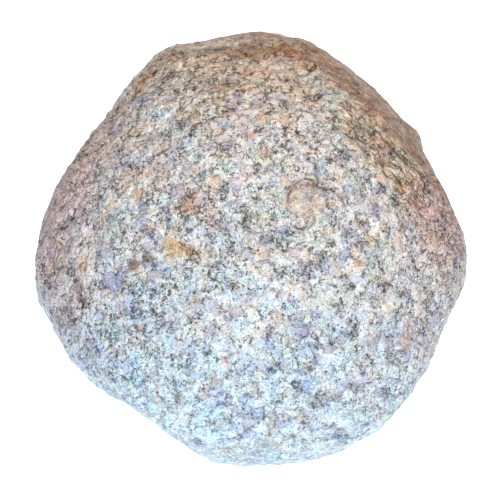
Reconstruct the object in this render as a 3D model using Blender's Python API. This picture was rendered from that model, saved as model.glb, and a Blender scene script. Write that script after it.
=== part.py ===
"""A rounded granite fieldstone, a little wider than a hand, lying on its flattest side.

The stone is one natural piece. It starts as a cube whose faces are cut into a grid and blown up into a
sphere. Every grid point is then pushed out from the heart of the stone to the stone's reach in that
direction. The reach is worked out in the order in which a stone gets its shape: a blunt block, flat
faces worn onto it, uneven wear, small chips knocked off all over, lumps, ledges and pits, and last the
flat that it lies on.

Lengths are in metres. A bearing turns anticlockwise from +X as seen from above, and a rise is an angle
above the level. Both are in degrees, and both are seen from the heart of the stone.
"""

import math
import random

import bmesh
import bpy
from mathutils import Matrix, Vector, noise

STONE_NAME = "granite_stone"
DOWN = Vector((0.0, 0.0, -1.0))

# The blunt block that the stone wore down from: half its width, its depth and its height, its
# fullness, which is 2 for an egg and grows towards a box, and how far its far end is lifted.
BLOCK_HALF_WIDTH = 0.1135
BLOCK_HALF_DEPTH = 0.1165
BLOCK_HALF_HEIGHT = 0.0850
BLOCK_FULLNESS = 2.1
BLOCK_LEAN = 14.0

# Worn faces. Each has a bearing, a rise, its distance from the heart, and how far its edges are rounded.
SIDE_FACES = (
    (3, 7, 0.1087, 0.005),
    (22, 20, 0.1010, 0.006),
    (44, 31, 0.1035, 0.008),
    (64, 36, 0.1095, 0.006),
    (82, 39, 0.1120, 0.006),
    (106, 39, 0.1095, 0.006),
    (131, 32, 0.1111, 0.005),
    (151, 24, 0.1005, 0.008),
    (167, 16, 0.1030, 0.006),
    (182, 7, 0.1112, 0.006),
    (205, -3, 0.1062, 0.006),
    (217, -10, 0.1075, 0.005),
    (234, -15, 0.1000, 0.006),
    (250, -18, 0.1078, 0.005),
    (274, -20, 0.1090, 0.006),
    (293, -18, 0.1112, 0.006),
    (318, -12, 0.1095, 0.008),
    (337, -2, 0.1055, 0.006),
    (353, 4, 0.1105, 0.005),
)
TOP_FACES = (
    (270, 68, 0.0885, 0.020),
    (225, 48, 0.0975, 0.020),
    (315, 45, 0.0985, 0.020),
    (90, 70, 0.0930, 0.014),
    (33, 46, 0.0995, 0.008),
    (160, 55, 0.0930, 0.016),
)
UNDER_FACES = (
    (60, -38, 0.0990, 0.024),
    (150, -42, 0.0960, 0.024),
    (205, -55, 0.0950, 0.024),
    (300, -50, 0.0985, 0.024),
    (20, -60, 0.0900, 0.024),
)
# A worn face cuts nothing further round the stone than where the cosine from its middle is this small.
FACE_LIMIT = 0.2

# Uneven wear: a broad wave and a finer one, each with the size of its swells and its height.
BROAD_WAVE_SIZE = 0.045
BROAD_WAVE_HEIGHT = 0.0024
FINE_WAVE_SIZE = 0.016
FINE_WAVE_HEIGHT = 0.0012

# Small flats left by chips, scattered evenly but not regularly over the whole stone.
CHIP_COUNT = 90
CHIP_DEPTH = (0.0002, 0.0012)
CHIP_EDGE = 0.0015
CHIP_SEED = 11
NORMAL_STEP = 0.03

# Pits where soft grains have weathered out, scattered in the same way.
PIT_COUNT = 70
PIT_RADIUS = (0.005, 0.009)
PIT_DEPTH = (0.0004, 0.0013)
PIT_SEED = 5

# How far a chip or a pit may stray from its even place, in degrees.
SCATTER = 8.0
GOLDEN_TURN = 180.0 * (3.0 - math.sqrt(5.0))

# Lumps and hollows. Each has a bearing, a rise, the turn of its long axis from level, its half length
# and half width, and its height, which is below zero for a hollow.
LUMPS = (
    (316, 67, 20, 0.0085, 0.0070, 0.0036),
    (329, 61, 0, 0.0060, 0.0050, 0.0018),
    (27, 26, 90, 0.0100, 0.0080, 0.0034),
    (223, -10, 90, 0.0120, 0.0080, 0.0032),
    (344, 3, 90, 0.0120, 0.0070, 0.0030),
    (358, 3, 90, 0.0140, 0.0100, -0.0026),
    (75, 39, 0, 0.0120, 0.0100, 0.0030),
    (197, 1, 90, 0.0120, 0.0060, 0.0030),
    (174, 12, 90, 0.0120, 0.0120, 0.0012),
    (304, 60, 50, 0.0060, 0.0035, -0.0018),
    (105, 37, 90, 0.0140, 0.0070, -0.0022),
    (12, 15, 90, 0.0120, 0.0090, -0.0030),
    (238, -4, 60, 0.0200, 0.0120, -0.0012),
    (266, -17, 90, 0.0140, 0.0080, -0.0030),
    (287, -15, 0, 0.0260, 0.0140, 0.0014),
    (124, 33, 0, 0.0200, 0.0120, 0.0020),
)

# Ledges. Each has a bearing, a rise, the turn of its edge from level, its half length, its drop and how
# far the lower side reaches. The lower side is on the left of the edge.
LEDGES = (
    (38, 52, 150, 0.0300, 0.0022, 0.0100),
    (8, 50, 115, 0.0220, 0.0020, 0.0080),
    (352, 42, 110, 0.0180, 0.0016, 0.0070),
    (190, 40, 60, 0.0260, 0.0014, 0.0090),
    (120, 5, 20, 0.0400, 0.0022, 0.0120),
    (300, -8, 10, 0.0350, 0.0018, 0.0110),
)
LEDGE_SLOPE = 0.0008

# A lump or a ledge is felt this many half lengths away from its middle, and no further.
LUMP_REACH = 3.0
LEDGE_REACH = 2.0

# The flat that the stone lies on: its distance below the heart, and the rounding of its edge.
REST_DEPTH = 0.0740
REST_EDGE = 0.0030

# The grid: cells along each side of the cube that is blown up into the sphere.
GRID_CELLS = 28

STONE_COLOUR = (0.48, 0.44, 0.41, 1.0)
STONE_ROUGHNESS = 0.9


def heading(bearing, rise):
    """The direction from the heart at a bearing and a rise."""
    turn = math.radians(bearing)
    lift = math.radians(rise)
    return Vector((math.cos(turn) * math.cos(lift), math.sin(turn) * math.cos(lift), math.sin(lift)))


def smooth_min(first, second, rounding):
    """The smaller of two lengths, with a fillet where they are closer than the rounding."""
    near = max(rounding - abs(first - second), 0.0) / rounding
    return min(first, second) - near * near * rounding / 4.0


def block_reach(way):
    """Distance from the heart to the surface of the blunt block."""
    level = Matrix.Rotation(math.radians(-BLOCK_LEAN), 3, "X") @ way
    shares = (level.x / BLOCK_HALF_WIDTH, level.y / BLOCK_HALF_DEPTH, level.z / BLOCK_HALF_HEIGHT)
    return sum(abs(share) ** BLOCK_FULLNESS for share in shares) ** (-1.0 / BLOCK_FULLNESS)


def wear_flat(reach, way, normal, distance, rounding):
    """The reach once a plane at a distance from the heart has been ground into the surface."""
    facing = way.dot(normal)
    if facing < FACE_LIMIT:
        return reach
    return smooth_min(reach, distance / facing, rounding)


def worn_reach(way):
    """Distance to the surface once the worn faces are on the block."""
    reach = block_reach(way)
    for bearing, rise, distance, rounding in SIDE_FACES + TOP_FACES + UNDER_FACES:
        reach = wear_flat(reach, way, heading(bearing, rise), distance, rounding)
    return reach


def worn_normal(way):
    """The direction that the worn surface faces, from three points close together on it."""
    across = way.orthogonal().normalized() * NORMAL_STEP
    along = way.cross(across)
    corners = []
    for side in (across, along - across, -along):
        spot = (way + side).normalized()
        corners.append(spot * worn_reach(spot))
    return (corners[1] - corners[0]).cross(corners[2] - corners[0]).normalized()


def scattered_places(count, rng):
    """Bearings and rises spread evenly over the stone on a golden spiral, each a little astray."""
    for index in range(count):
        even_rise = math.degrees(math.asin(1.0 - 2.0 * (index + 0.5) / count))
        yield GOLDEN_TURN * index + rng.uniform(-SCATTER, SCATTER), even_rise + rng.uniform(-SCATTER, SCATTER)


class Patch:
    """A spot on the worn surface, with axes for measuring along the surface around it."""

    def __init__(self, bearing, rise, turn):
        out = heading(bearing, rise)
        level = out.cross(DOWN).normalized()
        spin = math.radians(turn)
        self.origin = out * worn_reach(out)
        self.along = level * math.cos(spin) + out.cross(level) * math.sin(spin)
        self.left = out.cross(self.along)

    def measure(self, point):
        """How far a point is along the patch's axis, to its left, and from its origin."""
        offset = point - self.origin
        return offset.dot(self.along), offset.dot(self.left), offset.length


class Relief:
    """Everything that stands out of the worn surface or is cut into it."""

    def __init__(self):
        self.chips = self.scatter_chips()
        self.lumps = [(Patch(*lump[:3]), *lump[3:]) for lump in LUMPS] + self.scatter_pits()
        self.ledges = [(Patch(*ledge[:3]), *ledge[3:]) for ledge in LEDGES]

    @staticmethod
    def scatter_chips():
        """The small flats: a normal and a distance from the heart for each one."""
        rng = random.Random(CHIP_SEED)
        chips = []
        for bearing, rise in scattered_places(CHIP_COUNT, rng):
            way = heading(bearing, rise)
            normal = worn_normal(way)
            chips.append((normal, worn_reach(way) * way.dot(normal) - rng.uniform(*CHIP_DEPTH)))
        return chips

    @staticmethod
    def scatter_pits():
        """The pits, as round hollows."""
        rng = random.Random(PIT_SEED)
        pits = []
        for bearing, rise in scattered_places(PIT_COUNT, rng):
            radius = rng.uniform(*PIT_RADIUS)
            pits.append((Patch(bearing, rise, 0.0), radius, radius, -rng.uniform(*PIT_DEPTH)))
        return pits

    def lump_height(self, point):
        """What the lumps, hollows and pits add to the surface at a point."""
        total = 0.0
        for patch, half_length, half_width, height in self.lumps:
            along, left, away = patch.measure(point)
            if away < LUMP_REACH * half_length:
                total += height * math.exp(-((along / half_length) ** 2) - (left / half_width) ** 2)
        return total

    def ledge_drop(self, point):
        """How far the ledges lower the surface at a point."""
        total = 0.0
        for patch, half_length, drop, spread in self.ledges:
            along, left, away = patch.measure(point)
            if away < LEDGE_REACH * half_length:
                step = 1.0 / (1.0 + math.exp(-left / LEDGE_SLOPE))
                fade = math.exp(-((along / half_length) ** 2) - (max(left, 0.0) / spread) ** 2)
                total += drop * step * fade
        return total

    def stone_reach(self, way):
        """Distance from the heart to the finished surface."""
        reach = worn_reach(way)
        place = way * reach
        reach += BROAD_WAVE_HEIGHT * noise.noise(place / BROAD_WAVE_SIZE)
        for normal, distance in self.chips:
            reach = wear_flat(reach, way, normal, distance, CHIP_EDGE)
        reach += FINE_WAVE_HEIGHT * noise.noise(place / FINE_WAVE_SIZE)
        reach += self.lump_height(place) - self.ledge_drop(place)
        return wear_flat(reach, way, DOWN, REST_DEPTH, REST_EDGE)


def even_heading(corner):
    """The direction of a point on the cube, with the grid lines spaced by equal angles."""
    return Vector(math.tan(value * math.pi / 4.0) for value in corner).normalized()


def build_stone(collection):
    """The stone as one closed mesh, lying on its flat with its box centred over the origin."""
    relief = Relief()
    grid = bmesh.new()
    bmesh.ops.create_cube(grid, size=2.0)
    bmesh.ops.subdivide_edges(grid, edges=grid.edges[:], cuts=GRID_CELLS - 1, use_grid_fill=True)
    for point in grid.verts:
        way = even_heading(point.co)
        point.co = way * relief.stone_reach(way)
    lowest = Vector(min(point.co[axis] for point in grid.verts) for axis in range(3))
    highest = Vector(max(point.co[axis] for point in grid.verts) for axis in range(3))
    middle = (lowest + highest) / 2.0
    bmesh.ops.translate(grid, verts=grid.verts, vec=(-middle.x, -middle.y, -lowest.z))
    mesh = bpy.data.meshes.new(STONE_NAME)
    grid.to_mesh(mesh)
    grid.free()
    mesh.shade_smooth()
    mesh.materials.append(granite())
    stone = bpy.data.objects.new(STONE_NAME, mesh)
    collection.objects.link(stone)
    return stone


def granite():
    """Weathered granite: grey with a little pink, and dull all over."""
    material = bpy.data.materials.new("granite")
    material.use_nodes = True
    shader = material.node_tree.nodes["Principled BSDF"]
    shader.inputs["Base Color"].default_value = STONE_COLOUR
    shader.inputs["Roughness"].default_value = STONE_ROUGHNESS
    shader.inputs["Metallic"].default_value = 0.0
    material.diffuse_color = STONE_COLOUR
    return material


def main():
    """Clear the scene and build the stone in a collection of its own."""
    for old in list(bpy.data.objects):
        bpy.data.objects.remove(old, do_unlink=True)
    collection = bpy.data.collections.new("granite_fieldstone")
    bpy.context.scene.collection.children.link(collection)
    build_stone(collection)


main()
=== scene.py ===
# %% [markdown]
# # A granite fieldstone
#
# The object is one loose stone, a little wider than a spread hand, rounded by long rolling and weathering.
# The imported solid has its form: the worn faces, the knob on top, the ledges and the pits. What is still
# missing is what makes it granite: crystals of pale feldspar, grey quartz and black mica, each with its own
# colour and its own small step in the surface. This script puts that skin on the solid.

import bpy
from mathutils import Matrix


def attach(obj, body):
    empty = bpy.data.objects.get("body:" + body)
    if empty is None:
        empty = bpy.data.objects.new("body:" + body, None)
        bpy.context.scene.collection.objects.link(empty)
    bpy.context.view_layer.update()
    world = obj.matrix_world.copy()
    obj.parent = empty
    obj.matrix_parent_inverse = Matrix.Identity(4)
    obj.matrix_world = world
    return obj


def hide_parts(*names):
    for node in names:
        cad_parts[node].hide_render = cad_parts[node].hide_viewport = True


MM = 0.001


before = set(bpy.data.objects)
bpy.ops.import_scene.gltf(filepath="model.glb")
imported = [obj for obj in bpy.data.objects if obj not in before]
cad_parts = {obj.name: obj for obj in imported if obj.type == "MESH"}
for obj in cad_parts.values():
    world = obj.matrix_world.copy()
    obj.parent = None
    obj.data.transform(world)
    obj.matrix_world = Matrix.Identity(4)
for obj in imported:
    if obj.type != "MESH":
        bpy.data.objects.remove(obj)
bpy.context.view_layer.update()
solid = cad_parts["granite_stone"]

# %% [markdown]
# ## A skin of small even squares
#
# The solid's triangles are about 5 mm wide, and a crystal is 1 to 6 mm, so crystals need a finer mesh. The
# triangles could be subdivided, but that keeps their uneven layout. A stone that can be seen whole from a
# point inside it can also be covered by a ball: a cube cut into a grid, blown up, and then shrunk onto the
# stone along straight lines from that point. Its squares stay even, a little over 1 mm wide, which suits both
# the relief and the texture map.

# %% Cut a cube into a grid
import math

import bmesh
import bpy
import numpy as np

GRID_CELLS = 128

grid = bmesh.new()
bmesh.ops.create_cube(grid, size=2.0)
bmesh.ops.subdivide_edges(grid, edges=grid.edges[:], cuts=GRID_CELLS - 1, use_grid_fill=True)
skin = bpy.data.meshes.new("granite_skin")
grid.to_mesh(skin)
grid.free()


def read_rows(items, name, width, kind=np.float32):
    """One property of every vertex, edge or corner of a mesh, as the rows of an array."""
    values = np.empty(len(items) * width, dtype=kind)
    items.foreach_get(name, values)
    return values.reshape(-1, width)


cube_places = read_rows(skin.vertices, "co", 3).astype(float)
print("grid points:", len(skin.vertices), "triangles:", 2 * len(skin.polygons))

# %% [markdown]
# ## A texture map from the cube
#
# When the finished look is baked to pictures for other programs, every square needs a place of its own on
# them. The cube gives that for nothing: its six sides are laid out in two rows of three.

# %% Lay the six sides of the cube out flat
SQUARE_CORNERS = 4
MAP_COLUMNS = 3
MAP_ROWS = 2
# The empty edge around each side's place, as a share of it.
MAP_EDGE = 0.012

corner_points = read_rows(skin.loops, "vertex_index", 1, np.int32)[:, 0]
square_middles = cube_places[corner_points].reshape(-1, SQUARE_CORNERS, 3).mean(axis=1)
side_axis = np.abs(square_middles).argmax(axis=1)
side_front = np.take_along_axis(square_middles, side_axis[:, None], axis=1)[:, 0] > 0
corner_axis = np.repeat(side_axis, SQUARE_CORNERS)[:, None]
corner_front = np.repeat(side_front, SQUARE_CORNERS)
across = np.take_along_axis(cube_places[corner_points], (corner_axis + 1) % 3, axis=1)[:, 0]
upward = np.take_along_axis(cube_places[corner_points], (corner_axis + 2) % 3, axis=1)[:, 0]
across = np.where(corner_front, across, -across)
tile = np.repeat(2 * side_axis + side_front, SQUARE_CORNERS)
on_tile = MAP_EDGE + (1 - 2 * MAP_EDGE) * (np.stack((across, upward), axis=1) + 1) / 2
map_places = (np.stack((tile % MAP_COLUMNS, tile // MAP_COLUMNS), axis=1) + on_tile) / (MAP_COLUMNS, MAP_ROWS)
skin.uv_layers.new(name="OFBake").data.foreach_set("uv", map_places.astype(np.float32).ravel())
print("map spans", map_places.min(axis=0).round(3), "to", map_places.max(axis=0).round(3))

# %% [markdown]
# ## Shrinking the ball onto the stone
#
# Equal steps on a cube are unequal steps on a ball, so the grid lines are first spaced by equal angles. A
# line from the heart of the stone through each grid point then meets the solid once. The distances found
# still show the solid's flat triangles, and a few rounds of averaging with the neighbours take those out.

# %% Measure how far the stone reaches in every direction
from mathutils import Vector
from mathutils.bvhtree import BVHTree

# The heart of the stone, in metres.
HEART = Vector((0.0, -0.0011, 0.0740))
EVENING_ROUNDS = 8

ways = np.tan(cube_places * math.pi / 4)
ways /= np.linalg.norm(ways, axis=1, keepdims=True)
surface = BVHTree.FromObject(solid, bpy.context.evaluated_depsgraph_get())
reach = np.array([surface.ray_cast(HEART, Vector(way))[3] for way in ways])
neighbours = read_rows(skin.edges, "vertices", 2, np.int32)
neighbour_count = np.bincount(neighbours.ravel(), minlength=len(reach))


def evened(values, rounds):
    """The values after each has gone half way to the mean of its neighbours, a number of times."""
    first, second = neighbours.T
    count = len(values)
    for _ in range(rounds):
        total = np.bincount(first, values[second], count) + np.bincount(second, values[first], count)
        values = (values + total / neighbour_count) / 2
    return values


reach = evened(reach, EVENING_ROUNDS)
places = np.array(HEART) + ways * reach[:, None]
places[:, 2] = np.maximum(places[:, 2], 0.0)
skin.vertices.foreach_set("co", places.astype(np.float32).ravel())
skin.update()
skin.shade_smooth()
stone = bpy.data.objects.new("granite_skin", skin)
bpy.context.scene.collection.objects.link(stone)
print("reach in mm:", (reach.min() / MM).round(1), "to", (reach.max() / MM).round(1))

# %% [markdown]
# ## Where the stone has weathered
#
# The back of the stone has a smooth brown rind, which ends at a ragged crest along the top, and the rest is
# bare rock. The bare rock is tanned on the side that lay in soil. On the other side it is fresh, and there it
# is also painted cool, as painted cool light from the front and below. A picture could hold such differences,
# but the grid points are close enough together to hold them as plain numbers, which the relief and the
# material can both read by their names. First, the crest is drawn as a line around the heart, and each point
# keeps how far past it lies. Then each point keeps how far it faces the soil.

# %% Draw the crest, and see which side of it each grid point is on
# The crest, as bearings and rises from the heart in degrees, all the way round. Below it the rock has a rind.
CREST = (
    (-60, -40), (-48, -26), (-38, -29), (-26, -14), (-15, -8), (-9, 8), (-4, 20), (0, 30), (4, 34), (9, 38),
    (13, 42), (19, 44), (26, 44), (34, 44), (39, 45), (45, 47), (52, 48), (60, 46), (69, 45), (77, 40),
    (90, 32), (104, 28), (118, 16), (134, 14), (150, -2), (165, -5), (185, -24), (200, -22), (225, -36),
    (300, -40),
)
FULL_TURN = 360.0
# How far from the crest its distance still counts, in mm.
CREST_LIMIT = 40.0


def keep(name, values):
    """Keeps one number at every grid point under a name."""
    attribute = skin.attributes.new(name, "FLOAT", "POINT")
    attribute.data.foreach_set("value", np.asarray(values, dtype=np.float32))
    print(name, "from", round(float(np.min(values)), 2), "to", round(float(np.max(values)), 2))


def eased(values, low, high):
    """Numbers that ease from 0 to 1 as the values go from low to high."""
    share = np.clip((values - low) / (high - low), 0, 1)
    return share * share * (3 - 2 * share)


bearings = np.degrees(np.arctan2(ways[:, 1], ways[:, 0]))
rises = np.degrees(np.arcsin(ways[:, 2]))
crest_bearings, crest_rises = np.array(CREST).T
turned = np.where(bearings < crest_bearings[0], bearings + FULL_TURN, bearings)
past_crest = np.radians(np.interp(turned, crest_bearings, crest_rises) - rises) * reach / MM
keep("past_crest", np.clip(past_crest, -CREST_LIMIT, CREST_LIMIT))

# %% Grade the stone from its fresh side, painted with cool light, to its tanned side
# The way from the heart to the side that lay in soil: to the back, and about 30 degrees up.
TAN_WAY = np.array((0.10, 0.866, 0.49))
toward_soil = ways @ TAN_WAY
# Low numbers, at the front and below, later get painted cool light as well as the fresh rock's colour; high
# ones get the soil's tan.
keep("tan", 0.5 + 0.5 * toward_soil)

# %% [markdown]
# ## Single spots
#
# A rusted mica leaves a brown stain, one feldspar is pinker or yellower than the rest, a bruise is whiter,
# and soil stays in the hollows. Noise alone would strew such spots evenly, but these are what makes one stone
# different from the next, so they are listed one by one. Each kind of spot has a name, and each spot is a
# soft swell around its place, added to the others of its kind.

# %% Place the spots
# Each spot: bearing and rise from the heart in degrees, radius in mm, strength.
SPOTS = {
    # Soil and rust in the hollows, most of it along the crest. The spots on the knob's upper rim, at bearings
    # 311 to 335, and those beside the ledge at bearings 220 and 222 are painted shadow of the steps there.
    "soil_and_step_shadow": (
        (118, 38, 7, 1.0), (126, 38, 6, 0.8), (133, 39, 7, 0.9), (117, 58, 8, 0.6), (106, 62, 6, 0.7),
        (105, 40, 8, 0.8), (96, 44, 9, 0.7), (88, 44, 10, 1.0), (77, 44, 8, 0.9), (66, 44, 7, 0.8),
        (56, 42, 8, 1.0), (46, 42, 7, 1.0), (35, 44, 6, 0.9), (25, 33, 8, 1.0), (17, 35, 8, 1.0),
        (12, 47, 5, 0.8), (335, 69, 3, 0.8), (311, 72, 3.5, 0.7), (321, 73, 3, 0.6), (143, 36, 6, 0.7),
        (155, 30, 6, 0.6), (167, 24, 6, 0.5), (209, 26, 6, 0.5), (220, 42, 3, 1.3), (222, 46, 3, 1.2),
    ),
    # Feldspar that has rusted to a strong yellow.
    "ochre": (
        (227, 53, 5.5, 1.1), (234, 54, 4, 0.8), (219, 44, 4, 0.6), (195, 55, 6, 0.7), (212, 77, 4, 0.7),
        (207, 31, 6, 0.7), (249, 42, 5, 0.7), (316, 45, 5, 0.6), (318, 31, 4, 0.6), (293, 42, 4, 0.6),
        (13, 66, 3, 0.6), (19, 61, 4, 0.6), (0, 50, 3, 0.7), (355, 44, 4, 0.7),
    ),
    # Rust around weathered mica.
    "russet": (
        (219, 66, 6.5, 1.1), (237, 55, 4, 1.0), (344, 31, 4, 0.4), (212, 23, 9, 0.5), (214, 16, 8, 0.5),
        (144, 70, 2.5, 0.9), (2, 62, 3, 0.7),
    ),
    # Pink feldspar.
    "rose": (
        (85, 83, 3.5, 1.0), (164, 48, 4, 0.7), (317, 19, 6, 0.9), (234, 29, 3.5, 0.9), (264, 49, 3.5, 0.8),
        (263, 30, 3.5, 1.0),
    ),
    # Blue-grey quartz.
    "slate": (
        (306, 52, 4, 1.0), (296, 33, 6, 0.8), (302, 30, 3.5, 0.8), (231, 60, 3, 0.7), (159, 61, 3.5, 0.9),
        (244, 42, 5, 0.6), (276, 28, 4.5, 0.8), (286, 18, 6, 0.7), (231, 31, 6, 0.6), (224, 22, 5, 0.7),
        (248, 65, 6, 0.7), (293, 64, 8, 0.6), (346, 68, 4, 0.7), (203, 28, 3.5, 0.9), (232, 16, 5, 0.6),
        (343, 50, 3.5, 0.8), (352, 28, 4, 0.9),
    ),
    # The clean face of the knob.
    "cream": (
        (311, 71, 4, 0.8), (324, 71, 4.5, 1.0), (321, 66, 6, 1.0), (312, 68, 5, 1.0), (319, 63, 5, 0.8),
        (333, 68, 3.5, 0.7), (290, 62, 3, 0.5),
    ),
    # A dark greenish streak below the crest.
    "olive": (
        (28, 61, 3, 0.5), (21, 63, 3, 0.8), (14, 54, 3, 0.6), (12, 60, 3, 1.0), (6, 56, 3, 1.0),
        (3, 51, 3.5, 1.0), (357, 46, 3.5, 1.0), (354, 40, 3, 0.8),
    ),
    # Grey places, rich in mica.
    "dim": (
        (233, 65, 4, 1.0), (304, 50, 4.5, 1.0), (213, 62, 4.5, 0.9), (220, 47, 5, 0.9), (229, 76, 4.5, 0.9),
        (334, 79, 4.5, 0.9), (248, 66, 4.5, 0.8), (23, 73, 4.5, 0.8), (350, 64, 4, 0.8), (316, 57, 4, 0.8),
        (240, 24, 5, 0.8), (268, 28, 5, 0.8), (0, 49, 5, 1.0), (199, 59, 5, 0.9), (214, 82, 4.5, 0.8),
        (124, 44, 6, 0.7), (354, 43, 5, 0.8), (208, 29, 5, 0.8), (334, 27, 5, 0.8), (236, 33, 9, 0.6),
        (159, 71, 9, 0.6), (280, 68, 9, 0.4), (128, 48, 10, 0.8), (350, 24, 8, 0.4), (259, 39, 5, 0.6),
        (214, 52, 10, 0.3), (18, 67, 9, 0.4), (269, 4, 9, 0.4),
    ),
    # Whitish places, bruised or bare of mica.
    "frost": (
        (63, 53, 5, 1.0), (49, 55, 5, 1.0), (294, 19, 5, 0.8), (283, 46, 5, 0.8), (102, 75, 5, 0.9),
        (10, 61, 4, 0.9), (88, 66, 5, 1.0), (299, 31, 5, 0.8), (316, 31, 5, 0.8), (295, 66, 4, 0.8),
        (229, 18, 5, 0.8), (256, 20, 5, 0.7), (297, 12, 6, 0.7), (141, 56, 8, 0.9), (150, 57, 7, 0.8),
        (163, 71, 6, 0.8), (237, 82, 5, 1.0), (194, 47, 5, 0.7), (197, 38, 5, 0.8), (95, 72, 3.5, 1.0),
        (284, 71, 5.5, 0.8), (265, 40, 22, 0.6), (297, 55, 6, 0.7), (335, 48, 6, 0.7), (218, 20, 11, 0.45),
    ),
    # Faintly brown places.
    "warm": (
        (205, 36, 6, 1.0), (286, 27, 6, 0.8), (230, 26, 5, 0.8), (314, 19, 6, 0.7), (350, 61, 5, 0.8),
        (254, 26, 5, 0.7), (217, 19, 6, 0.8), (213, 27, 6, 0.8), (200, 22, 28, 0.6), (356, 50, 5, 0.8),
        (242, 29, 5, 0.7),
    ),
    # Faintly blue places.
    "cool": (
        (280, 63, 5, 1.0), (334, 49, 5, 0.8), (293, 53, 5, 0.9), (246, 44, 5, 0.8), (237, 75, 5, 0.7),
        (163, 70, 5, 0.8), (63, 53, 6, 1.0), (49, 55, 6, 1.0), (340, 18, 8, 0.9), (144, 55, 6, 0.8),
    ),
    # The reddish film on the left and right sides, which also darkens those rims as painted shade.
    "side_film_and_rim_shade": (
        (190, 22, 34, 0.8), (168, 26, 34, 0.6), (150, 30, 30, 0.6), (212, 14, 26, 0.6), (350, 26, 34, 0.9),
        (0, 30, 24, 0.4), (318, 16, 22, 0.5), (297, 14, 16, 0.2),
    ),
    # Where the layers of the rock show as streaks.
    "streaked": (
        (8, 44, 20, 0.7), (20, 50, 18, 1.0), (28, 54, 12, 0.7), (356, 40, 16, 0.5), (350, 26, 20, 0.38),
        (26, 44, 14, 0.8),
    ),
}


def heading(bearing, rise):
    """The direction from the heart at a bearing and a rise in degrees."""
    turn, lift = math.radians(bearing), math.radians(rise)
    return Vector((math.cos(turn) * math.cos(lift), math.sin(turn) * math.cos(lift), math.sin(lift)))


def on_surface(bearing, rise):
    """The point of the stone at a bearing and a rise."""
    return np.array(surface.ray_cast(HEART, heading(bearing, rise))[0])


for name, spots in SPOTS.items():
    total = np.zeros(len(places))
    for bearing, rise, radius, strength in spots:
        away = np.linalg.norm(places - on_surface(bearing, rise), axis=1)
        total += strength * np.exp(-((away / (radius * MM)) ** 2))
    keep(name, total)

# %% [markdown]
# ## Ledges and cracks
#
# Where a flake of rock has come off, a small step stays behind, with a dark crack along its foot; that dark
# line is partly a crack and partly painted shadow of the step face. A step is a line drawn over the stone.
# The rock to its left, seen from outside, stands up and slopes back down over a width. The distance to the
# line is kept too, so that the material can draw the crack and its painted shadow along the very edge.

# %% Raise the ledges and keep the distance to their cracks, which also carry painted step shadow
# Each ledge: the bearings and rises along its edge, its height and width in mm, and how clear its crack and
# painted shadow are.
LEDGES = (
    (
        ((333, 58), (336, 62), (338, 64), (336, 67), (340, 70), (338, 72), (324, 74), (311, 72)),
        1.8, 15.0, 0.7,
    ),
    (((343, 55), (349, 57), (353, 60)), 0.8, 8.0, 0.6),
    (((21, 51), (13, 49), (9, 45), (4, 40), (358, 34)), 0.9, 8.0, 0.7),
    (((14, 67), (6, 64), (1, 60)), 0.7, 7.0, 0.6),
    (((350, 45), (349, 39), (345, 35)), 0.8, 7.0, 0.5),
    (((219, 39), (220, 42), (222, 46)), 1.3, 9.0, 0.5),
    (((302, 65), (303, 63), (306, 62)), 0.8, 6.0, 1.0),
)
# How wide the slope of a step is, how far from it the crack and its painted shadow are felt, and over how
# much length past their ends the ledge and the crack fade out, all in mm.
EDGE_RUN = 1.6
CRACK_AND_SHADE_REACH = 3.0
LEDGE_FADE = 4.0
CRACK_AND_SHADE_FADE = 2.0


def beside(edge):
    """How far each grid point is to the left of a line on the stone, and past the line's ends, in mm."""
    corners = np.array([on_surface(*corner) for corner in edge])
    left = np.full(len(places), np.inf)
    past_end = np.zeros(len(places))
    for start, end in zip(corners, corners[1:]):
        length = np.linalg.norm(end - start)
        run = (end - start) / length
        offset = places - start
        far = offset @ run
        away = offset - np.clip(far, 0, length)[:, None] * run
        side = np.sign(np.einsum("ij,ij->i", np.cross(np.broadcast_to(run, ways.shape), away), ways))
        signed = side * np.linalg.norm(away, axis=1) / MM
        closer = np.abs(signed) < np.abs(left)
        left = np.where(closer, signed, left)
        past_end = np.where(closer, np.maximum(-far, far - length) / MM, past_end)
    return left, past_end


ledges = np.zeros(len(places))
crack_and_shade_left = np.full(len(places), CRACK_AND_SHADE_REACH)
crack_and_shade_cover = np.zeros(len(places))
for edge, height, width, clearness in LEDGES:
    left, past_end = beside(edge)
    ends = 1 - eased(past_end, 0, LEDGE_FADE)
    ledges += height * ends * eased(left, -EDGE_RUN / 2, EDGE_RUN / 2) * (1 - eased(left, EDGE_RUN, width))
    near = np.abs(left) < CRACK_AND_SHADE_REACH
    crack_and_shade_left = np.where(near, left, crack_and_shade_left)
    crack_and_shade_cover = np.where(near, clearness * (1 - eased(past_end, 0, CRACK_AND_SHADE_FADE)), crack_and_shade_cover)
keep("ledges", ledges)
keep("crack_and_shade_left", crack_and_shade_left)
keep("crack_and_shade_cover", crack_and_shade_cover)
print("highest ledge in mm:", ledges.max().round(2))

# %% [markdown]
# ## Arithmetic with nodes
#
# A material is a sum of patterns. Wiring that by hand is slow to read, so one small class stands for the
# output of a node and lets ordinary arithmetic add the nodes. The same class works in a shader and in
# Geometry Nodes, because both have the same texture and maths nodes.


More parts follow.
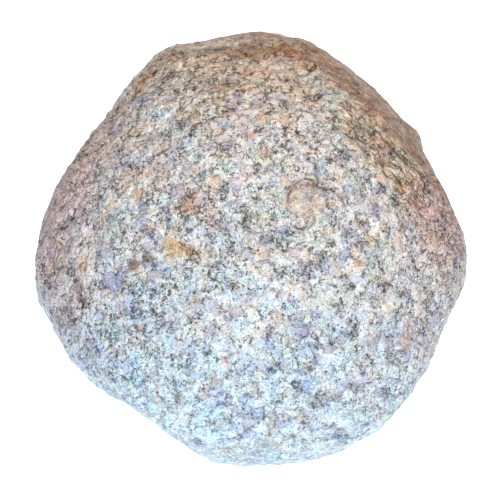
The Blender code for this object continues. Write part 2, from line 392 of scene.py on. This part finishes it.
# %% A wire that can be added, multiplied and compared
class Wire:
    """The output of a node."""

    def __init__(self, tree, socket):
        self.tree = tree
        self.socket = socket

    def node(self, kind, settings=None, values=None, output=0):
        """A new node in the same tree, set up first and then fed with values or wires."""
        made = self.tree.nodes.new(kind)
        for name, setting in (settings or {}).items():
            setattr(made, name, setting)
        for name, value in (values or {}).items():
            if isinstance(value, Wire):
                self.tree.links.new(value.socket, made.inputs[name])
            else:
                made.inputs[name].default_value = value
        return Wire(self.tree, made.outputs[output])

    def constant(self, vector):
        """A fixed vector as a wire."""
        return self.node("ShaderNodeVectorMath", {"operation": "ADD"}, {0: vector, 1: (0.0, 0.0, 0.0)})

    def is_wide(self):
        """Whether the wire carries a vector or a colour, and not one number."""
        return self.socket.type in {"VECTOR", "RGBA"}

    @staticmethod
    def widened(item):
        """A number repeated three times, a colour without its alpha, or anything else as it is."""
        if isinstance(item, (int, float)):
            return (item,) * 3
        return item[:3] if isinstance(item, tuple) else item

    def combine(self, operation, first, second):
        """One step of arithmetic, on numbers or on vectors."""
        items = (first, second)
        wide = any(isinstance(item, tuple) or isinstance(item, Wire) and item.is_wide() for item in items)
        kind = "ShaderNodeVectorMath" if wide else "ShaderNodeMath"
        values = [self.widened(item) if wide else item for item in items]
        return self.node(kind, {"operation": operation}, dict(enumerate(values)))

    def __add__(self, other):
        return self.combine("ADD", self, other)

    def __radd__(self, other):
        return self.combine("ADD", other, self)

    def __sub__(self, other):
        return self.combine("SUBTRACT", self, other)

    def __rsub__(self, other):
        return self.combine("SUBTRACT", other, self)

    def __mul__(self, other):
        return self.combine("MULTIPLY", self, other)

    def __rmul__(self, other):
        return self.combine("MULTIPLY", other, self)

    def __gt__(self, other):
        return self.combine("GREATER_THAN", self, other)

    def along(self, direction):
        """How far a place is along a direction."""
        settings = {"operation": "DOT_PRODUCT"}
        return self.node("ShaderNodeVectorMath", settings, {0: self, 1: direction}, "Value")

    def ease(self, low, high, start=0.0, end=1.0):
        """A number that eases from start to end as the wire goes from low to high."""
        limits = {"Value": self, "From Min": low, "From Max": high, "To Min": start, "To Max": end}
        return self.node("ShaderNodeMapRange", {"interpolation_type": "SMOOTHSTEP"}, limits)

    def twin(self, output):
        """Another output of the same node."""
        return Wire(self.tree, self.socket.node.outputs[output])

    def part(self, index):
        """One of the three numbers in a vector."""
        return self.node("ShaderNodeSeparateXYZ", None, {0: self}, index)

    def spread(self, index):
        """One of the three numbers in a random colour, moved so that it lies between -0.5 and 0.5."""
        return self.part(index) - 0.5


def blend(factor, first, second):
    """The first colour where the factor is 0 and the second where it is 1."""
    # The Mix node has sockets for numbers, vectors and colours. These are its colour sockets.
    return factor.node("ShaderNodeMix", {"data_type": "RGBA"}, {0: factor, 6: first, 7: second}, 2)


# %% [markdown]
# ## The crystals
#
# Cells of a Voronoi pattern look like grown crystals, because crystals fill the room left by their
# neighbours. Even cells would look like a honeycomb, so the places are first shaken by noise, which frays the
# edges. A patch of one mineral is a few grains wide, a grain is made of specks, and dust lies over it all, so
# four sizes of cell are laid over each other. The relief and the colours take their cells from the same
# functions, so that a grain that looks like one also stands out as one.

# %% Patterns at a place in the stone, in mm
PATCH_SIZE = 5.2
GRAIN_SIZE = 2.6
SPECK_SIZE = 1.25
DUST_SIZE = 0.54
# How wide the gaps between patches are, as a share of a patch.
GAP_WIDTH = 0.18


def noise_at(place, size, detail=2.0, output="Fac", roughness=0.5):
    """Soft noise from 0 to 1, with swells of a size in mm."""
    values = {"Vector": place, "Scale": 1 / size, "Detail": detail, "Roughness": roughness}
    return place.node("ShaderNodeTexNoise", None, values, output)


def swells_at(place, size, detail=2.0, output="Fac"):
    """The same noise, moved so that it lies between -0.5 and 0.5."""
    return noise_at(place, size, detail, output) - 0.5


def shaken(place, size, amount):
    """The place, moved about by up to the amount, so that straight edges fray."""
    return place + swells_at(place, size, 2.0, "Color") * (2 * amount)


def cells_at(place, size, output="Color", feature="F1"):
    """Crystal cells of a size in mm: a random colour each, or the distance from their middle or edge."""
    values = {"Vector": place, "Scale": 1 / size}
    return place.node("ShaderNodeTexVoronoi", {"feature": feature}, values, output)


def patches_at(place, output="Color", feature="F1"):
    """Three random numbers for each patch of one mineral, or the distance from its middle or edge."""
    return cells_at(shaken(place, 2.5, 1.2), PATCH_SIZE, output, feature)


def gaps_at(place):
    """The gaps between the patches, from 0 to 1, where they have weathered open."""
    gap = patches_at(place, "Distance", "DISTANCE_TO_EDGE").ease(0.0, GAP_WIDTH, 1.0, 0.0)
    return gap * noise_at(place, 4.5, 2.0).ease(0.42, 0.60)


def grains_at(place, output="Color"):
    """Three random numbers for each grain, or the distance from its middle."""
    return cells_at(shaken(place, 1.5, 0.6), GRAIN_SIZE, output)


# %% [markdown]
# ## Along the crest
#
# The crest isn't a clean line, so the distance to it is shaken by noise. Near it the rock shows its layers as
# streaks that run down to the right. Noise gives streaks when lengths along one direction are cut short in
# its places, because every swell is then drawn out that way.

# %% Patterns that follow the crest and the layers of the rock
# How far the crest strays from its line, in mm, the way the streaks run, and how much they are drawn out.
RAGGEDNESS = 3.8
STREAK_WAY = (0.73, -0.60, -0.31)
STREAK_STRETCH = 0.78


def beyond_crest(place, past_crest):
    """How far past the crest a place is, in mm, with the crest made ragged."""
    return past_crest + swells_at(place, 9.0, 3.0) * (2 * RAGGEDNESS)


def stretched(place):
    """The place with lengths along the streaks cut short, so that patterns are drawn out along them."""
    return place - place.along(STREAK_WAY) * STREAK_STRETCH * place.constant(STREAK_WAY)


# %% [markdown]
# ## Relief that can be felt
#
# On a weathered stone the hard grains stand a little proud of the soft ones, the gaps between patches have
# opened, and the whole skin is gently uneven. The rind is smoother, and lies a little lower than the crest.
# Moving the grid points in and out with a Geometry Nodes tree gives that relief a true outline. One round of
# blurring takes out steps that are steeper than the grid squares can show, and the ledges are added after it,
# so that their edges stay sharp. The tree is applied at once, so the piece is an ordinary mesh. The flat that
# the stone lies on is spared.

# %% Push the grid points in and out
# Heights in mm.
UNEVENNESS = 3.2
PATCH_STEP = 0.8
GRAIN_STEP = 0.8
GAP_DEPTH = 1.1
CREST_STEP = 0.9
STREAK_STEP = 1.3
# How much smoother the rind is.
RIND_SMOOTHNESS = 0.5
# Where the rind, the streaks and the step behind the crest come and go, in mm past the crest.
RIND_EDGE = (-0.8, 0.8)
STREAK_BAND = (-22.0, -4.0)
STEP_BAND = (2.0, 14.0)
# The heights above the ground over which the relief comes in, in mm.
SPARED_BAND = (0.5, 4.0)

relief = bpy.data.node_groups.new("grain_relief", "GeometryNodeTree")
relief.interface.new_socket("Geometry", in_out="INPUT", socket_type="NodeSocketGeometry")
relief.interface.new_socket("Geometry", in_out="OUTPUT", socket_type="NodeSocketGeometry")
relief_start = Wire(relief, relief.nodes.new("NodeGroupInput").outputs[0])
relief_place = relief_start.node("GeometryNodeInputPosition") * (1 / MM)
relief_normal = relief_start.node("GeometryNodeInputNormal")


def relief_kept(name):
    """A number kept at the grid points, as a wire of the relief tree."""
    return relief_start.node("GeometryNodeInputNamedAttribute", {"data_type": "FLOAT"}, {"Name": name})


relief_beyond = beyond_crest(relief_place, relief_kept("past_crest"))
relief_rind = relief_beyond.ease(*RIND_EDGE)
near_crest = relief_beyond.ease(*STREAK_BAND)
fine = patches_at(relief_place).spread(2) * PATCH_STEP - gaps_at(relief_place) * GAP_DEPTH
fine = fine + grains_at(relief_place).spread(2) * GRAIN_STEP
fine = fine + swells_at(stretched(relief_place), 2.6) * near_crest * STREAK_STEP
lift = swells_at(relief_place, 9.0, 3.0) * UNEVENNESS + fine * (1 - RIND_SMOOTHNESS * relief_rind)
lift = lift - relief_rind * relief_beyond.ease(*STEP_BAND, 1.0, 0.0) * CREST_STEP
lift = lift.node("GeometryNodeBlurAttribute", {"data_type": "FLOAT"}, {"Value": lift, "Iterations": 1})
lift = (lift + relief_kept("ledges")) * relief_place.part(2).ease(*SPARED_BAND)
offset = relief_normal * lift * MM
moved = relief_start.node("GeometryNodeSetPosition", None, {"Geometry": relief_start, "Offset": offset})
relief_end = relief.nodes.new("NodeGroupOutput")
relief.links.new(moved.socket, relief_end.inputs[0])


def apply_tree(thing, tree):
    """Runs a Geometry Nodes tree on an object once and keeps the result as its mesh."""
    modifier = thing.modifiers.new(tree.name, "NODES")
    modifier.node_group = tree
    result = thing.evaluated_get(bpy.context.evaluated_depsgraph_get())
    mesh = bpy.data.meshes.new_from_object(result)
    thing.modifiers.remove(modifier)
    thing.data = mesh
    return mesh


skin = apply_tree(stone, relief)
moves = np.linalg.norm(read_rows(skin.vertices, "co", 3) - places, axis=1)
print("relief in mm: mean", (moves.mean() / MM).round(2), "largest", (moves.max() / MM).round(2))

# %% [markdown]
# ## The camera and the light
#
# The camera looks down at 60 degrees, from close by. The stone lies on a white floor that glows faintly, so
# that it stays white around the stone and throws cool light up under it. A high sheet of light in front
# shows the grains, a wide and low one to the left of it cools the fresh rock, and a warm one behind lights
# the crest.

# %% Camera, floor and lights
# The camera: its angle above the level, its distance and what it sees across at the heart, in metres, and the
# width of its film in mm.
CAMERA_RISE = math.radians(60)
CAMERA_DISTANCE = 0.57
VIEW_WIDTH = 0.256
SENSOR_WIDTH = 36.0

# Each sheet of light: bearing and rise from the heart in degrees, distance and width in metres, power in
# watts, and colour.
LIGHTS = {
    "high_sheet": (275, 38, 0.9, 0.3, 8.2, (1.0, 1.0, 0.99)),
    "front_sheet": (245, 4, 0.9, 0.8, 5.8, (0.46, 0.73, 1.0)),
    "back_sheet": (75, 60, 1.0, 0.3, 9.6, (1.0, 0.95, 0.88)),
}

# The room: its own faint light, and the floor's width in metres, colour and glow.
ROOM_COLOUR = (1.0, 0.99, 0.97, 1.0)
ROOM_LIGHT = 0.14
FLOOR_WIDTH = 6.0
FLOOR_COLOUR = (0.95, 0.95, 0.95, 1.0)
FLOOR_ROUGHNESS = 0.9
GLOW_COLOUR = (0.88, 0.96, 1.0, 1.0)
GLOW = 0.6

camera_data = bpy.data.cameras.new("camera")
camera_data.sensor_width = SENSOR_WIDTH
camera_data.lens = SENSOR_WIDTH * CAMERA_DISTANCE / VIEW_WIDTH
camera = bpy.data.objects.new("camera", camera_data)
camera_way = Vector((0.0, -math.cos(CAMERA_RISE), math.sin(CAMERA_RISE)))
camera.location = HEART + camera_way * CAMERA_DISTANCE
camera.rotation_euler = camera_way.to_track_quat("Z", "Y").to_euler()
bpy.context.scene.collection.objects.link(camera)
bpy.context.scene.camera = camera
bpy.context.scene.view_settings.view_transform = "Standard"


def soft_light(name, bearing, rise, distance, width, power, colour):
    """A square sheet of light that faces the stone."""
    sheet = bpy.data.lights.new(name, "AREA")
    sheet.size = width
    sheet.energy = power
    sheet.color = colour
    lamp = bpy.data.objects.new(name, sheet)
    way = heading(bearing, rise)
    lamp.location = HEART + way * distance
    lamp.rotation_euler = way.to_track_quat("Z", "Y").to_euler()
    bpy.context.scene.collection.objects.link(lamp)


for name, settings in LIGHTS.items():
    soft_light(name, *settings)

room = bpy.data.worlds.new("studio")
room.use_nodes = True
room_light = room.node_tree.nodes["Background"]
room_light.inputs["Color"].default_value = ROOM_COLOUR
room_light.inputs["Strength"].default_value = ROOM_LIGHT
bpy.context.scene.world = room

bpy.ops.mesh.primitive_plane_add(size=FLOOR_WIDTH)
floor = bpy.context.object
floor.name = "floor"
floor_paint = bpy.data.materials.new("white_floor")
floor_paint.use_nodes = True
floor_shader = floor_paint.node_tree.nodes["Principled BSDF"]
floor_shader.inputs["Base Color"].default_value = FLOOR_COLOUR
floor_shader.inputs["Roughness"].default_value = FLOOR_ROUGHNESS
floor_shader.inputs["Emission Color"].default_value = GLOW_COLOUR
floor_shader.inputs["Emission Strength"].default_value = GLOW
floor.data.materials.append(floor_paint)
print("camera lens in mm:", round(camera_data.lens, 1), "lights:", len(LIGHTS))

# %% [markdown]
# ## The granite itself
#
# The colour is built up the way a watercolour is: a pale ground, then thin washes that each multiply what is
# under them. A stain then darkens white and grey crystals alike, and they still show through it. In all the
# steps, an effect eases in between two numbers, where it begins and where it is full, and the numbers after
# the place of a noise are the size of its swells in mm and how much detail they carry. First come the
# patterns that several steps share.

# %% Start the material
# The strength of the side film and its painted rim shade where a place begins to count as a side, and where
# it fully does.
SIDE_BAND = (0.2, 0.8)
# The rind's colour fades out over this far on either side of the crest, in mm.
RIND_FADE = 1.5

granite = bpy.data.materials.new("granite")
granite.use_nodes = True
shader = granite.node_tree.nodes["Principled BSDF"]
coordinates = granite.node_tree.nodes.new("ShaderNodeTexCoord")
place = Wire(granite.node_tree, coordinates.outputs["Object"]) * (1 / MM)


def kept(name):
    """A number kept at the grid points."""
    return place.node("ShaderNodeAttribute", {"attribute_name": name}, None, "Fac")


patch = patches_at(place)
grain = grains_at(place)
speck = cells_at(shaken(place, 0.9, 0.35), SPECK_SIZE)
dust = cells_at(place, DUST_SIZE)
gap = gaps_at(place)
tan = kept("tan")
side = kept("side_film_and_rim_shade").ease(*SIDE_BAND)
beyond = beyond_crest(place, kept("past_crest"))
rind = beyond.ease(-RIND_FADE, RIND_FADE)

# %% [markdown]
# ## Soft patches of tint
#
# From a step away, granite is neither grey nor pink: rosy, yellowish and bluish patches about a centimetre
# wide run into each other. The three channels of one coloured noise give three kinds of patch. The ground
# under them goes from cool to brown with the tan, and its cool end is partly painted cool light from the
# front and below. On the sides, where a film that also paints rim shade evens the colours out, the patches
# are fainter. A few whole crystals are clearly blue or clearly brown.

# %% Tint the rock in soft patches
# Colours as a screen would show them, in three numbers from 0 to 255.
# The fresh rock's blue is partly painted cool light, from the front and the floor below.
FRESH_ROCK_AND_PAINTED_COOL_LIGHT = (190, 203, 212)
BARE_ROCK = (206, 203, 201)
TANNED_ROCK = (206, 194, 182)
ROSY = (252, 238, 230)
YELLOWISH = (250, 248, 234)
BLUISH = (230, 231, 246)
ICY = (236, 252, 255)
BLUE_CRYSTAL = (214, 218, 242)
BROWN_CRYSTAL = (244, 222, 206)
# Where the tints begin and are full on the coloured noise. The icy one lies at its low end.
ROSY_BAND = (0.64, 0.78)
YELLOWISH_BAND = (0.64, 0.78)
BLUISH_BAND = (0.64, 0.76)
ICY_BAND = (0.46, 0.58)
# Where the ground turns from fresh to bare and from bare to tanned, as the tan grows from 0 to 1.
BARE_BAND = (0.15, 0.60)
TANNED_BAND = (0.78, 0.98)
# A crystal is blue where its first random number is this high, and brown where it is this low.
BLUE_BAND = (0.86, 0.90)
BROWN_BAND = (0.06, 0.09)


def on_screen(red, green, blue):
    """A colour given as the 0 to 255 values that a screen would show."""
    linear = [((value / 255 + 0.055) / 1.055) ** 2.4 for value in (red, green, blue)]
    return (*linear, 1.0)


def tinted(base, amount, colour):
    """The base colour, seen through a colour by an amount."""
    return blend(amount, base, base * on_screen(*colour))


hue = noise_at(shaken(place, 3.0, 1.0), 7.0, 1.0, "Color", 0.6)
wide_hue = noise_at(place, 14.0, 1.0, "Color")
mix = hue * 0.75 + wide_hue * 0.35 + patch * 0.14
# Painted cool light: the ground is bluish where the tan is low, at the front and below.
base = blend(tan.ease(*BARE_BAND), on_screen(*FRESH_ROCK_AND_PAINTED_COOL_LIGHT), on_screen(*BARE_ROCK))
base = blend(tan.ease(*TANNED_BAND), base, on_screen(*TANNED_ROCK))
base = tinted(base, mix.part(0).ease(*ROSY_BAND) * (1 - 0.5 * side), ROSY)
base = tinted(base, mix.part(1).ease(*YELLOWISH_BAND), YELLOWISH)
base = tinted(base, mix.part(2).ease(*BLUISH_BAND) * (1 - 0.5 * side), BLUISH)
base = tinted(base, mix.part(0).ease(*ICY_BAND, 1.0, 0.0) * (1 - 0.7 * side), ICY)
crystal = patch.part(0)
base = tinted(base, crystal.ease(*BLUE_BAND) * 0.7, BLUE_CRYSTAL)
base = tinted(base, crystal.ease(*BROWN_BAND, 1.0, 0.0) * (0.7 - 0.5 * side), BROWN_CRYSTAL)

# %% [markdown]
# ## Light and dark grains
#
# Every patch, grain and speck has a lightness of its own, from the random colours of its cell, and so has
# every bit of dust. A few bits of dust are painted much lighter as glints, a painted highlight. Soft noise at
# three sizes makes groups of them lighter or darker together.

# %% Give every crystal, grain and speck its lightness
LIGHTNESS = 0.858
LIGHTEST = 1.12
# How much each kind of cell, each size of noise, a gap and a dim spot change the lightness.
PATCH_CONTRAST = 0.20
GRAIN_CONTRAST = 0.24
SPECK_CONTRAST = 0.14
DUST_CONTRAST = 0.74
WIDE_CONTRAST = 0.25
MIDDLE_CONTRAST = 0.45
GRIT_CONTRAST = 0.25
GAP_CONTRAST = 0.24
DIMMING = 0.20
# How bright the painted glints are, and the share of the dust that gets a painted glint.
PAINTED_GLINT = 0.25
PAINTED_GLINT_SHARE = 0.05

wide = swells_at(place, 9.0, 1.0)
middle = swells_at(shaken(place, 2.0, 0.6), 4.0, 1.0)
grit = noise_at(shaken(place, 0.7, 0.25), 1.9, 3.0, "Fac", 0.75)
brightness = LIGHTNESS - DIMMING * kept("dim") + WIDE_CONTRAST * wide + MIDDLE_CONTRAST * middle
brightness = brightness + GRIT_CONTRAST * (grit - 0.5) + GAP_CONTRAST * (0.15 - gap)
brightness = brightness + PATCH_CONTRAST * patch.spread(2) + GRAIN_CONTRAST * grain.spread(0)
brightness = brightness + SPECK_CONTRAST * speck.spread(0) + DUST_CONTRAST * dust.spread(0)
# Painted highlight: a few bits of dust are lightened as glints.
brightness = brightness + PAINTED_GLINT * (dust.part(1) > 1 - PAINTED_GLINT_SHARE)

# %% [markdown]
# ## Dark mica
#
# Mica lies in small crisp flakes, crowded in some places and rare in others. Where noise passes a limit it
# gives ragged flecks, cells squeezed in two directions give short strokes that lie two ways, and thin edges
# of cells give dark joints between the grains. One slow noise, the cluster, decides where all of these are
# common: bruises, the knob and yellow feldspars have few. The freshest rock, at the front and below, is
# calmed by a painted haze of bright cool light, which flattens its lightness and fades its mica, and the
# sides are livelier.

# %% Scatter dark flecks in clusters, and darken a few joints
# The fresh mica's blue is partly painted cool light.
FRESH_MICA_AND_PAINTED_COOL_LIGHT = (74, 93, 110)
BARE_MICA = (82, 87, 91)
TANNED_MICA = (126, 108, 92)
SOIL = (196, 160, 126)
# How much a spot of each kind adds to the mica around it.
CROWDED_SPOTS = {"slate": 0.35, "dim": 0.3, "russet": 0.4, "ochre": -0.8}
# The flakes: their cells in mm, how much of a cell one fills, the share of cells that hold one, and how much
# that share grows in a cluster.
FLAKE_SIZE = 1.2
FLAKE_FILL = 0.34
FLAKE_SHARE = 0.06
CROWDING = 0.34
# Where the mica turns from fresh to bare and from bare to tanned, as the tan grows from 0 to 1.
BARE_MICA_BAND = (0.45, 0.75)
TANNED_MICA_BAND = (0.76, 0.96)
# How thick the joints between grains are, as a share of a grain: fully dark, and fading out.
JOINT_WIDTH = (0.03, 0.11)
# How much the freshest rock is calmed by painted haze of cool light, and how much the sides are enlivened.
PAINTED_HAZE = 0.28
LIVELINESS = 0.35

cream = kept("cream").ease(0.2, 0.9)
frost = (kept("frost") + 0.8 * swells_at(place, 3.0)).ease(0.25, 0.85)
cluster = noise_at(place, 6.0, 2.0).ease(0.42, 0.64) - 0.6 * frost - 0.8 * cream
for name, amount in CROWDED_SPOTS.items():
    cluster = cluster + amount * kept(name)


def flakes_at(place, squeeze):
    """Short crisp strokes, drawn out where the place is squeezed, in a share of the cells."""
    cells = cells_at(shaken(place, 1.1, 0.45) * squeeze, FLAKE_SIZE, "Distance")
    picked = cells.twin("Color").part(0) + CROWDING * cluster
    return (FLAKE_FILL - cells).ease(0.0, 0.05) * picked.ease(1.0 - FLAKE_SHARE, 1.04 - FLAKE_SHARE)


brightness = brightness - 0.08 * (cluster - 0.35)
# Painted haze: toward the front and below, the lightness is pulled to its mean and the mica faded, as if
# bright cool light washed them out.
painted_haze = tan.ease(0.05, 0.30, PAINTED_HAZE, 0.0)
brightness = brightness + (painted_haze - LIVELINESS * side) * (LIGHTNESS - brightness)
base = base * brightness.combine("MINIMUM", brightness, LIGHTEST)
base = tinted(base, gap * tan.ease(0.60, 0.90) * 0.6, SOIL)
depth = 0.5 - grit + 0.16 * speck.spread(1) + 0.15 * cluster + 0.10 * (gap - 0.15)
edge_distance = cells_at(shaken(place, 1.2, 0.5), GRAIN_SIZE, "Distance", "DISTANCE_TO_EDGE")
dark = edge_distance.ease(*JOINT_WIDTH, 1.0, 0.0)
dark = dark * (noise_at(place, 2.2, 2.0) + 0.10 * cluster).ease(0.62, 0.66)
flecks = (depth.ease(0.225, 0.245), flakes_at(place, (0.5, 0.9, 1.0)), flakes_at(place, (1.0, 0.55, 0.55)))
for fleck in flecks:
    dark = dark.combine("MAXIMUM", dark, fleck)
mica = blend(tan.ease(*BARE_MICA_BAND), on_screen(*FRESH_MICA_AND_PAINTED_COOL_LIGHT), on_screen(*BARE_MICA))
mica = blend(tan.ease(*TANNED_MICA_BAND), mica, on_screen(*TANNED_MICA))
base = blend(dark * (0.55 + 0.40 * speck.part(2)) * (1 - painted_haze), base, base * mica)

# %% [markdown]
# ## Cracks, film and streaks
#
# The cracks follow the ledges, waver a little and break off here and there; their dark lines are partly
# painted shadow of the step faces. A brown film covers the tanned side and a reddish one the left and right
# sides, both in blots, and the reddish one also paints shade on those rims. Below the crest the layers of the
# rock show as fine streaks, with soil in the low ones and bare rock on the high ones.

# %% Draw the cracks and their painted step shadow, and lay the film and the streaks over the rock
# Dark brown for the cracks, partly painted shadow of the step faces.
CRACK_AND_SHADE = (132, 104, 84)
TAN_FILM = (232, 208, 186)
SIDE_FILM_AND_RIM_SHADE = (238, 208, 207)
CREST_FILM = (240, 220, 212)
LAYERS = (248, 232, 210)
LOW_LAYER = (176, 150, 122)
# Half the width of a crack and its painted shadow, from its dark middle to its edge, and how far it wavers,
# in mm.
CRACK_AND_SHADE_WIDTH = (0.25, 0.75)
CRACK_AND_SHADE_WAVER = 1.6
# Where the brown film lies, as the tan grows from 0 to 1, and where the rock before the crest has its own, in
# mm past the crest.
TAN_FILM_BAND = (0.84, 1.0)
CREST_FILM_BAND = (-10.0, -2.0)

off_line = kept("crack_and_shade_left") + CRACK_AND_SHADE_WAVER * swells_at(place, 2.5)
crack_and_shade = off_line.combine("ABSOLUTE", off_line, 0.0).ease(*CRACK_AND_SHADE_WIDTH, 1.0, 0.0)
crack_and_shade = crack_and_shade * kept("crack_and_shade_cover") * noise_at(place, 4.0, 1.0).ease(0.28, 0.42)
# Partly painted shadow: a dark line along the foot of each step.
base = tinted(base, crack_and_shade * 0.8, CRACK_AND_SHADE)
film = tan.ease(*TAN_FILM_BAND) * (0.35 + 0.65 * noise_at(place, 6.0, 3.0).ease(0.35, 0.65))
base = tinted(base, film * 0.5, TAN_FILM)
# Partly painted shade: the reddish film also darkens the left and right rims.
side_film_and_rim_shade = kept("side_film_and_rim_shade") * (0.5 + noise_at(place, 7.0, 3.0))
base = tinted(base, side_film_and_rim_shade.ease(0.0, 1.4), SIDE_FILM_AND_RIM_SHADE) * (1 + 0.05 * side_film_and_rim_shade)
base = tinted(base, beyond.ease(*CREST_FILM_BAND), CREST_FILM)
streaked = kept("streaked").ease(0.2, 0.9)
layers = noise_at(stretched(place), 1.6, 3.0, "Fac", 0.6)
base = tinted(base, streaked * 0.8, LAYERS)
base = tinted(base, streaked * layers.ease(0.38, 0.48, 1.0, 0.0), LOW_LAYER)
base = base * (1 + streaked * layers.ease(0.54, 0.64) * 0.3)

# %% [markdown]
# ## Stains and rind
#
# Each kind of spot is a wash of its own colour, broken up by noise so that it has no clean edge. The rind is
# laid on last, because it covers the crystals and lets only their lightness through. It is blotched dark and
# light, and yellower in wide patches. Its browns are darker than the rind's own colour, as painted shade on
# the back of the stone.

# %% Stain the spots and lay on the rind
# Each stain: its strength and its colour.
STAINS = {
    "warm": (0.70, (252, 232, 212)),
    "cool": (0.85, (216, 234, 254)),
    # Soil and rust, and painted shadow beside a few steps.
    "soil_and_step_shadow": (0.85, (208, 176, 142)),
    "ochre": (0.90, (248, 206, 146)),
    "olive": (0.90, (176, 160, 128)),
    "russet": (0.90, (214, 168, 140)),
    "slate": (0.80, (176, 192, 212)),
    "rose": (0.90, (255, 206, 190)),
}
KNOB = (248, 236, 222)
# The rind's browns, darkened beyond its own colour as painted shade of the back.
DARK_RIND_AND_SHADE = (118, 99, 90)
LIGHT_RIND_AND_SHADE = (160, 133, 119)
YELLOW_RIND = (255, 240, 208)

blots = noise_at(place, 2.4, 3.0, "Fac", 0.6) * 2
for name, (strength, colour) in STAINS.items():
    base = tinted(base, (kept(name) * blots).ease(0.2, 1.1) * strength, colour)
base = tinted(base, cream, KNOB) * (1 + 0.25 * frost)
rind_and_shade_colour = blend(noise_at(place, 5.0, 4.0).ease(0.3, 0.7), on_screen(*DARK_RIND_AND_SHADE), on_screen(*LIGHT_RIND_AND_SHADE))
rind_and_shade_colour = tinted(rind_and_shade_colour, noise_at(place, 16.0, 2.0).ease(0.45, 0.60), YELLOW_RIND)
rind_cover = rind * (0.4 + 0.6 * noise_at(place, 7.0, 3.0).ease(0.35, 0.6))
base = blend(rind_cover, base, rind_and_shade_colour * brightness * (1.12 - 0.6 * dark))
granite.node_tree.links.new(base.socket, shader.inputs["Base Color"])

# %% [markdown]
# ## Roughness and the finest relief
#
# Weathered granite is dull all over, so one roughness serves. Steps that are finer than the grid squares are
# left to a bump: rounded grains, the grit between them, open gaps and cracks, and the streaks of the layers.

# %% Roughness and the finest relief
ROUGHNESS = 0.6
# How deep the bump is in mm. What each pattern adds to its height is a share of that.
BUMP_DEPTH = 1.3

height = 0.35 * grain.part(2) + 0.25 * speck.part(2) + 0.08 * dust.part(2) + 0.5 * grit
height = height - 0.7 * grains_at(place, "Distance") - 0.5 * gap - 0.25 * dark - 0.6 * crack_and_shade
height = (height + streaked * layers) * (1 - 0.4 * rind)
bump = height.node("ShaderNodeBump", None, {"Strength": 1.0, "Distance": BUMP_DEPTH * MM, "Height": height})
granite.node_tree.links.new(bump.socket, shader.inputs["Normal"])
shader.inputs["Roughness"].default_value = ROUGHNESS
skin.materials.append(granite)
print("nodes in the material:", len(granite.node_tree.nodes))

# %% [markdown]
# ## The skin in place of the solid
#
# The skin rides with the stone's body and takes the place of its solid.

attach(stone, "root")
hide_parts("granite_stone")
